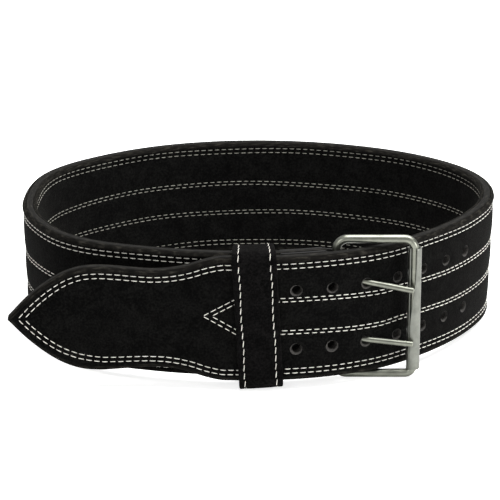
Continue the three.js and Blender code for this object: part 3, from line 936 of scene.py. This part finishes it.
# A band with rounded corners, its wall turned inwards, and a shallow groove under each stitch row
def makeKeeper():
    pickOnly()
    middle = Vector((0, (keeperLow + keeperTop) / 2, (keeperFront + keeperBack) / 2))
    bpy.ops.mesh.primitive_cube_add(size=1, location=middle)
    bpy.context.object.scale = (keeper["width"], keeperTop - keeperLow, keeperFront - keeperBack)
    piece = settled()
    bpy.ops.object.mode_set(mode="EDIT")
    bpy.ops.mesh.select_mode(type="FACE")
    bpy.ops.mesh.select_all(action="DESELECT")
    bpy.ops.object.mode_set(mode="OBJECT")
    for polygon in piece.data.polygons:
        polygon.select = abs(polygon.normal.x) > 0.9
    bpy.ops.object.mode_set(mode="EDIT")
    bpy.ops.mesh.delete(type="ONLY_FACE")
    bpy.ops.mesh.select_mode(type="EDGE")
    bpy.ops.mesh.select_all(action="DESELECT")
    bpy.ops.object.mode_set(mode="OBJECT")
    selectLongEdges(piece)
    bpy.ops.object.mode_set(mode="EDIT")
    bpy.ops.mesh.bevel(offset=keeper["corner"], segments=keeper["cornerSteps"], affect="EDGES")
    bpy.ops.mesh.select_all(action="DESELECT")
    bpy.ops.object.mode_set(mode="OBJECT")
    selectLongEdges(piece)
    bpy.ops.object.mode_set(mode="EDIT")
    half = keeper["width"] / 2
    row = keeper["rowInset"]
    wanted = half - np.array([0, keeper["rim"]] + [row + column for column in keeper["columns"]])
    wanted = np.concatenate([-wanted, [0], wanted[::-1]])
    bpy.ops.mesh.subdivide(number_cuts=len(wanted) - 2)
    bpy.ops.object.mode_set(mode="OBJECT")
    points = readPoints(piece)
    points[:, 0] = np.interp(points[:, 0], np.linspace(-half, half, len(wanted)), wanted)
    writePoints(piece, points)
    outerCount = len(points)
    applied(piece, "SOLIDIFY", thickness=keeper["wall"], offset=-1, use_even_offset=True)
    points = readPoints(piece)
    normals = np.empty(len(points) * 3)
    piece.data.vertices.foreach_get("normal", normals)
    inset = half - np.abs(points[:, 0])
    dip = keeper["dip"] * np.exp(-((inset - row) / keeper["dipWidth"]) ** 2)
    dip[outerCount:] = 0
    writePoints(piece, points - normals.reshape(-1, 3) * dip[:, None])
    rounded(piece, keeper["rounding"], 3)
    tidied(piece)
    writePoints(piece, wrapFlat(leanKeeper(readPoints(piece))))
    return piece


def selectLongEdges(piece):
    for edge in piece.data.edges:
        ends = [piece.data.vertices[v].co for v in edge.vertices]
        edge.select = abs(ends[0].x - ends[1].x) > 0.5 * keeper["width"]


# Stitches that follow the band once round, near both of its edges
def keeperStitches():
    r = keeper["corner"]
    corners = [(keeperFront - r, keeperTop - r), (keeperBack + r, keeperTop - r),
               (keeperBack + r, keeperLow + r), (keeperFront - r, keeperLow + r)]
    turns = [(corner, angle) for k, corner in enumerate(corners) for angle in range(90 * k, 90 * k + 91, 6)]
    loop = [(o + r * math.cos(math.radians(a)), h + r * math.sin(math.radians(a))) for (o, h), a in turns]
    loop = np.array(loop + loop[:1])
    slant = math.radians(keeper["slant"])
    blocks = []
    for side in (-1, 1):
        centre, heading = spacedAlong(loop, keeper["pitch"], sewing["stitch"])
        zero = np.zeros(len(centre))
        up = np.column_stack([zero, -heading[:, 0], heading[:, 1]])
        tangent = np.column_stack([zero, heading[:, 1], heading[:, 0]])
        along = tangent * math.cos(slant) + np.array([math.sin(slant), 0, 0])
        across = side * (keeper["width"] / 2 - keeper["rowInset"])
        across = zero + across + keeper["wander"] * np.sin(np.arange(len(zero)) * 0.9)
        place = np.column_stack([across, centre[:, 1], centre[:, 0]]) - up * keeper["sunk"]
        points = stitchPoints(keeperBase, place, along, up)
        blocks.append(wrapFlat(leanKeeper(points.reshape(-1, 3))))
    return stitchPiece("keeperStitching", blocks, stitchFaces, thread)


finished(makeKeeper(), "keeperBand", keeperSuede, "keeper", angle=50)
keeperBase, stitchFaces = modelStitch(keeper["stitch"], keeper["thread"] / 2)
keeperStitches()


# The tab, laid flat beside the strap's end: along one side, round the bar, and back along the other
def makeTab():
    sink = bulbRadius - tabDepth
    steps = tab["steps"]
    legs = [(-tab["leg"] + k * (tab["leg"] - bulbRadius) / steps, tabDepth) for k in range(steps)]
    turns = np.radians(np.arange(0, 181, 9))
    fold = [(bulbRadius * math.sin(a), bulbRadius * math.cos(a) - sink) for a in turns]
    back = [(x, -tabDepth) for x, _ in reversed(legs[:-1])]
    line = np.array(legs + fold + back)
    narrowed = smoothShare((line[:, 0] + tab["narrowFrom"]) / tab["narrowOver"])
    half = midHeight - tab["legInset"] - narrowed * (tab["foldInset"] - tab["legInset"])
    heights = midHeight + half[None] * np.linspace(-1, 1, tab["columns"])[:, None]
    piece = gridPiece(*heights.shape)
    distance, outwards = (np.broadcast_to(values, heights.shape).ravel() for values in line.T)
    writePoints(piece, np.column_stack([distance + hingeAt, heights.ravel(), outwards]))
    if piece.data.polygons[0].normal.z < 0:
        piece.data.flip_normals()
    applied(piece, "SOLIDIFY", thickness=tab["wall"], offset=-1, use_even_offset=True)
    rounded(piece, tab["edge"], 2)
    for prong in prongs.values():
        pickOnly()
        bpy.ops.mesh.primitive_cube_add(size=1, location=(hingeAt, prongEnds(prong)[0].z, -sink))
        slotHeight = buckle["prongEyeHeight"] + 2 * tab["slotClearance"]
        bpy.context.object.scale = (2 * tab["coreSetback"], slotHeight, 6 * bulbRadius)
        slot = settled()
        applied(piece, "BOOLEAN", object=slot, operation="DIFFERENCE", solver="EXACT")
        bpy.data.objects.remove(slot)
    writePoints(piece, wrapFlat(readPoints(piece)))
    return piece


def tabStitches():
    blocks = []
    low = tab["legInset"] + tab["sideInset"]
    high = strap["width"] - tab["legInset"] - tab["sideInset"]
    end = hingeAt - tab["leg"]
    lines = [[(end + inset, low), (end + inset, high)] for inset in tab["rows"]]
    sideStart, sideEnd = end + tab["sideFrom"], hingeAt - tab["sideTo"]
    lines += [[(sideStart, height), (sideEnd, height)] for height in (low, high)]
    for line in lines:
        centre, heading = spacedAlong(np.array(line), sewing["pitch"], sewing["stitch"])
        place = np.column_stack([centre, np.full(len(centre), -tabDepth)])
        along = np.column_stack([heading, np.zeros(len(heading))])
        up = np.tile([0, 0, -1], (len(centre), 1))
        blocks.append(wrapFlat(stitchPoints(stitchBase, place, along, up).reshape(-1, 3)))
    return stitchPiece("tabStitching", blocks, stitchFaces, bobbinThread)


finished(makeTab(), "hingeTab", tabLeather, "hinge_tab", angle=40)
tabStitches()


# One wire bent round four corners: a ring is drawn up the hinge bar and spun at each corner
def makeFrame():
    r = buckle["corner"]
    low = -buckle["seat"] - wireRadius
    high = low + innerHeight + buckle["wire"]
    left, right = hingeBar.x, hingeBar.x + buckle["reach"]
    tight = buckle["lowCorner"]
    pickOnly()
    bpy.ops.mesh.primitive_circle_add(vertices=buckle["wireSides"], radius=wireRadius,
                                      location=(left, hingeBar.y, low + r))
    piece = settled()
    editAll()
    tall, wide = high - low - 2 * r, buckle["reach"] - 2 * r
    more = r - tight
    # Each leg of the wire, and the middle of the bend after it
    bends = [((0, 0, tall), (left + r, high - r)),
             ((wide, 0, 0), (right - r, high - r)),
             ((0, 0, -tall - more), (right - tight, low + tight)),
             ((-wide - more, 0, 0), (left + r, low + r))]
    for leg, (x, z) in bends:
        extruded(leg)
        bpy.ops.mesh.spin(steps=buckle["bendSteps"], angle=-math.pi / 2,
                          center=(x, hingeBar.y, z), axis=(0, 1, 0))
    bpy.ops.object.mode_set(mode="OBJECT")
    tidied(piece, distance=1e-5)
    return piece


# The roller's open seam, in degrees of its round, and the shares of its length over which it widens
rollerSeam = {"bearing": 226, "wide": 56, "narrow": 3, "from": 0.28, "over": 0.6, "sides": 64, "rings": 24}


# A sheet rolled round the bar: its edges meet at the lower end and gape at the upper one
def makeRoller():
    low = -buckle["seat"] + buckle["lowCorner"] - wireRadius - buckle["rollerDrop"]
    bends = buckle["corner"] + buckle["lowCorner"]
    length = innerHeight + buckle["wire"] - bends + buckle["rollerOverhang"]
    radius = buckle["rollerDiameter"] / 2
    piece = gridPiece(rollerSeam["rings"] + 1, rollerSeam["sides"] + 1)
    share, rise = (readPoints(piece)[:, :2] + 0.5).T
    opened = smoothShare((rise - rollerSeam["from"]) / rollerSeam["over"])
    seam = np.radians(rollerSeam["narrow"] + (rollerSeam["wide"] - rollerSeam["narrow"]) * opened)
    angle = np.radians(rollerSeam["bearing"]) + seam + share * (2 * math.pi - seam)
    writePoints(piece, np.column_stack([rollerBar.x + radius * np.cos(angle),
                                        rollerBar.y + radius * np.sin(angle), low + rise * length]))
    first = piece.data.polygons[0]
    if first.normal.dot(first.center - rollerBar) < 0:
        piece.data.flip_normals()
    wall = radius - buckle["rollerBore"] / 2
    applied(piece, "SOLIDIFY", thickness=wall, offset=-1, use_even_offset=True)
    rounded(piece, buckle["rollerEdge"], 3)
    return piece


prongForm = {
    "sides": 24,
    # The worn round end, as (place before its middle, size), both in radii of the prong
    "tip": [(-1, 0.45), (-0.97, 0.7), (-0.82, 0.86), (-0.55, 0.96), (0, 1)],
    "neckSteps": 6,
    "eyeSteps": 30,
    "eyeTurn": 318,
}


# A prong: a rounded tip, a straight shank that flattens, and an eye bent round the hinge bar
def makeProng(prong):
    start, end = prongEnds(prong)
    axis = (start - end).normalized()
    end += axis * buckle["prongShort"]
    full = buckle["prong"] / 2
    reach = (start - end).length
    thin = buckle["prongEyeWall"] / buckle["prong"]
    sections = [(place * full, size) for place, size in prongForm["tip"]]
    sections.append((reach - buckle["prongNeck"], 1))
    pickOnly()
    size = sections[0][1]
    before = end + axis * sections[0][0]
    bpy.ops.mesh.primitive_circle_add(vertices=prongForm["sides"], radius=size * full, location=before,
                                      rotation=axis.to_track_quat("Z", "Y").to_euler())
    piece = settled()
    editAll()
    for at, share in sections[1:]:
        place = end + axis * at
        extruded(place - before)
        bpy.ops.transform.resize(value=(share / size,) * 3, center_override=place)
        before, size = place, share
    flat = 1
    steps = prongForm["neckSteps"]
    for k in range(1, steps + 1):
        place = end + axis * (reach - buckle["prongNeck"] * (1 - k / steps))
        target = 1 + (thin - 1) * float(smoothShare(k / steps))
        extruded(place - before)
        bpy.ops.transform.resize(value=(1, target / flat, 1), center_override=place)
        before, flat = place, target
    bpy.ops.mesh.spin(steps=prongForm["eyeSteps"], angle=math.radians(prongForm["eyeTurn"]),
                      center=(hingeBar.x, hingeBar.y, start.z), axis=(0, 0, 1))
    bpy.ops.object.mode_set(mode="OBJECT")
    tidied(piece, fill=True)
    return piece


finished(makeFrame(), "buckleWire", nickel, "buckle_frame", angle=60)
finished(makeRoller(), "rollerTube", shadedRollerNickel, "roller", angle=40)
for name, prong in prongs.items():
    finished(makeProng(prong), name, nickel, prong["node"], angle=60)


studio = {
    "sky": 0.25,
    "mirroredSky": 0.6,     # paper walls that only the metal shows
    "floorGlow": 0.75,      # towards the lens, so that the floor stays plain white
    "floorBounce": 0.12,    # towards the belt
    "floorSize": 14,
    "floorDrop": 0.0002,
    "aim": (0, 0, 0.05),
    "lamps": [
        {"name": "overhead", "at": (0.5, 0.1, 1.65), "size": 1.6, "power": 60},
        {"name": "frontLeft", "at": (-1.3, -2.0, 1.2), "size": 0.8, "power": 12},
        {"name": "frontRight", "at": (1.9, -1.3, 0.4), "size": 0.5, "power": 15},
    ],
}


# Plain pale floor: mat backdrop paper, whose 3 mm mottling barely shows
def makeStage():
    pickOnly()
    bpy.ops.mesh.primitive_plane_add(size=studio["floorSize"], location=(0, 0, -studio["floorDrop"]))
    floor = settled()
    material, tree, shader = newMaterial("matBackdropPaper", Roughness=0.9, Specular_IOR_Level=0.1,
                                         Emission_Color=(1, 1, 1, 1))
    place = addNode(tree, "ShaderNodeTexCoord").outputs["Object"]
    grain = addNode(tree, "ShaderNodeTexNoise", {"Vector": place}, Scale=300, Detail=2).outputs["Fac"]
    colour = addNode(tree, "ShaderNodeValToRGB", {"Fac": grain}, stops=[(0.3, "#f6f6f5"), (0.7, "#fafaf9")])
    tree.links.new(colour.outputs["Color"], shader.inputs["Base Color"])
    seen = addNode(tree, "ShaderNodeLightPath").outputs["Is Camera Ray"]
    glow = addNode(tree, "ShaderNodeMapRange", {"Value": seen},
                   To_Min=studio["floorBounce"], To_Max=studio["floorGlow"])
    tree.links.new(glow.outputs[0], shader.inputs["Emission Strength"])
    floor.data.materials.append(material)
    floor.name = "floor"


def lightStudio():
    world = bpy.data.worlds.new("studioWorld")
    world.use_nodes = True
    world.node_tree.nodes["Background"].inputs["Color"].default_value = (1, 1, 1, 1)
    tree = world.node_tree
    mirrored = addNode(tree, "ShaderNodeLightPath").outputs["Is Glossy Ray"]
    strength = addNode(tree, "ShaderNodeMapRange", {"Value": mirrored},
                       To_Min=studio["sky"], To_Max=studio["mirroredSky"])
    tree.links.new(strength.outputs[0], tree.nodes["Background"].inputs["Strength"])
    bpy.context.scene.world = world
    for lamp in studio["lamps"]:
        pickOnly()
        bpy.ops.object.light_add(type="AREA", location=lamp["at"])
        light = bpy.context.object
        light.name = lamp["name"]
        light.data.shape = "SQUARE"
        light.data.size = lamp["size"]
        light.data.energy = lamp["power"]
        aim = Vector(studio["aim"]) - Vector(lamp["at"])
        light.rotation_euler = aim.to_track_quat("-Z", "Y").to_euler()
    bpy.context.scene.view_settings.view_transform = "Standard"


# The photographer's place, worked out for the level belt and carried with it to where it stands
camera = {
    "pitch": 18.5,
    "distance": 2.1,
    "target": (-0.0081, 0.032, 0.0394),
    "focal": 2504,      # in pixels of the frame
    "frame": 500,
    "sensor": 36,
    "clip": 30,
}


def placeCamera():
    pitch = math.radians(camera["pitch"])
    view = Vector((0, math.cos(pitch), -math.sin(pitch)))
    pickOnly()
    bpy.ops.object.camera_add()
    lens = bpy.context.object
    lens.data.sensor_width = camera["sensor"]
    lens.data.lens = camera["focal"] * camera["sensor"] / camera["frame"]
    lens.data.clip_end = camera["clip"]
    upright = Matrix.Rotation(math.pi / 2 - pitch, 4, "X")
    level = Matrix.Translation(Vector(camera["target"]) - view * camera["distance"]) @ upright
    lens.matrix_world = standing @ level
    bpy.context.scene.camera = lens


makeStage()
lightStudio()
placeCamera()
print("stage, lamps and camera set")
